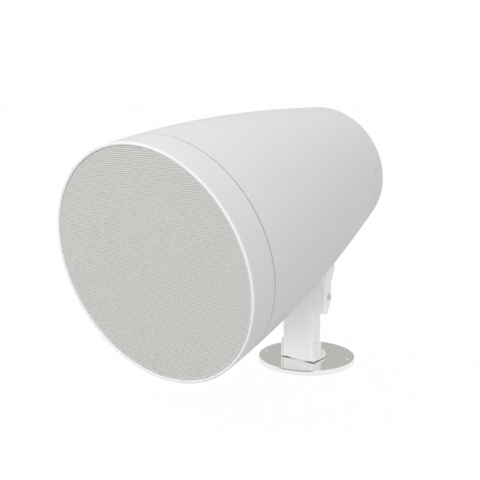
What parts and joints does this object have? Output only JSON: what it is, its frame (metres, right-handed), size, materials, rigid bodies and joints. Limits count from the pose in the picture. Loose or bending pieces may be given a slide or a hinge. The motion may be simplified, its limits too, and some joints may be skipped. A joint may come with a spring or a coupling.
{
  "type": "sound projector loudspeaker",
  "caption": "Bullet-shaped loudspeaker with a perforated round front grille, on a folded steel arm that tilts and turns on a round base plate.",
  "frame": {"origin": "centre of the round base plate's underside, the face that is fixed to a wall, a ceiling or a floor", "axes": "+Z away from the mounting surface along the pan axis, -Y the way the loudspeaker points at rest, X along the tilt bolts"},
  "size_m": [0.2, 0.2958, 0.2503],
  "materials": {
    "baffle_board": "black moulding",
    "basket_steel": "black coat",
    "black_rubber": "soft",
    "coil_tape": "taped winding",
    "cone_paper": "pressed paper pulp",
    "copper_coil": "enamelled copper winding on its former",
    "core_steel": "stacked laminations",
    "ferrite": "sintered ferrite",
    "gasket_felt": "pressed felt",
    "grille_paint": "pale grey-white coat on perforated steel",
    "lining_fleece": "loose polyester fleece",
    "natural_nylon": "natural nylon",
    "plate_chrome": "polished and plated steel",
    "spider_cloth": "resin-treated cloth",
    "surround_cloth": "treated cloth",
    "terminal_plastic": "moulded terminals",
    "white_plastic": "satin white moulding",
    "white_steel": "white powder coat",
    "zinc_steel": "zinc plated"
  },
  "bodies": {
    "base": {"base_plate": "plate_chrome", "pan_bolt": "zinc_steel", "friction_disc": "natural_nylon", "pan_washer": "zinc_steel", "pan_nut": "zinc_steel"},
    "arm": {"foot_bracket": "white_steel", "support_arm": "white_steel", "tilt_bolts": "zinc_steel", "tilt_washers": "natural_nylon", "tilt_nuts": "zinc_steel"},
    "speaker": {"tilt_saddle": "white_steel", "saddle_screws": "zinc_steel", "nut_plate": "zinc_steel", "housing_shell": "white_plastic", "rear_cover": "white_plastic", "rear_cover_screws": "zinc_steel", "cable_grommet": "black_rubber", "front_ring": "white_plastic", "grille": "grille_paint", "baffle": "baffle_board", "baffle_screws": "zinc_steel", "driver_basket": "basket_steel", "driver_gasket": "gasket_felt", "driver_screws": "zinc_steel", "driver_surround": "surround_cloth", "driver_cone": "cone_paper", "whizzer_cone": "cone_paper", "dust_cap": "cone_paper", "driver_spider": "spider_cloth", "voice_coil": "copper_coil", "top_plate": "zinc_steel", "magnet_ring": "ferrite", "pole_yoke": "zinc_steel", "transformer_core": "core_steel", "transformer_coil": "coil_tape", "terminal_block": "terminal_plastic", "damping_lining": "lining_fleece"}
  },
  "joints": [
    {"name": "pan", "type": "hinge", "parent": "base", "child": "arm", "pos_m": [0, 0, 0.008], "axis": [0, 0, 1], "range_deg": [-90, 90]},
    {"name": "tilt", "type": "hinge", "parent": "arm", "child": "speaker", "pos_m": [0, -0.011, 0.072], "axis": [1, 0, 0], "range_deg": [-40, 8]}
  ]
}
